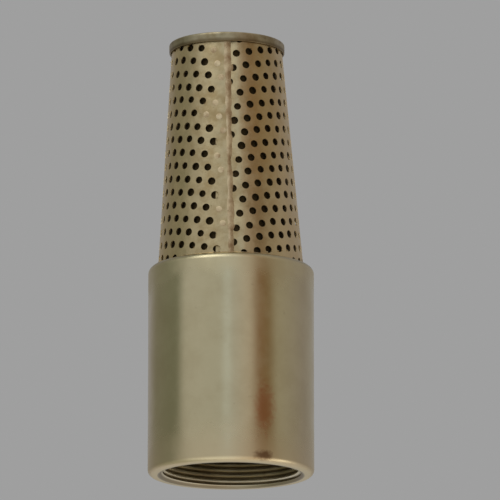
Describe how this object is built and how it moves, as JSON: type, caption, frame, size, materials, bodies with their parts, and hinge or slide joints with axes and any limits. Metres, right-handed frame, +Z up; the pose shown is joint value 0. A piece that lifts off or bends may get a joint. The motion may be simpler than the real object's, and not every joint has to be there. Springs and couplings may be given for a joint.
{
  "type": "foot valve",
  "caption": "Brass foot valve: a cylindrical body with a female pipe thread, a spring-loaded poppet and its seat inside, and a tapered, rolled strainer of perforated sheet.",
  "frame": {"origin": "centre of the mouth's annular end face, where the pipe screws in", "axes": "+Z up the valve's axis from the mouth to the strainer's end; -Y towards the strainer's seam; +X to the right when the seam faces the viewer and the strainer is up"},
  "size_m": [0.07, 0.07, 0.1862],
  "materials": {
    "turned_brass": "turned and brushed, slightly dulled",
    "sheet_brass": "rolled perforated sheet, satin",
    "stainless_steel": "drawn wire and stampings",
    "wire_gauze": "fine woven wire, dark with oxide",
    "nitrile_rubber": "matt black",
    "nylon": "natural, off-white"
  },
  "bodies": {
    "housing": {"valve_body": "turned_brass", "outlet_guide": "turned_brass", "outlet_bush": "nylon", "inlet_guide": "turned_brass", "inlet_bush": "nylon", "snap_ring": "stainless_steel", "return_spring": "stainless_steel", "strainer_ring": "turned_brass", "strainer_screen": "sheet_brass", "mesh_liner": "wire_gauze", "strainer_end_disc": "sheet_brass", "strainer_rim": "sheet_brass"},
    "poppet": {"valve_stem": "turned_brass", "valve_disc": "turned_brass", "seal_washer": "nitrile_rubber", "washer_plate": "turned_brass", "lock_washer": "stainless_steel", "stem_nut": "turned_brass", "cotter_pin": "stainless_steel"}
  },
  "joints": [
    {"name": "poppet_lift", "type": "slide", "parent": "housing", "child": "poppet", "axis": [0, 0, -1], "range_m": [0, 0.011], "stiffness_N_per_m": 800, "springref_m": -0.008, "deforming": ["return_spring"]}
  ]
}
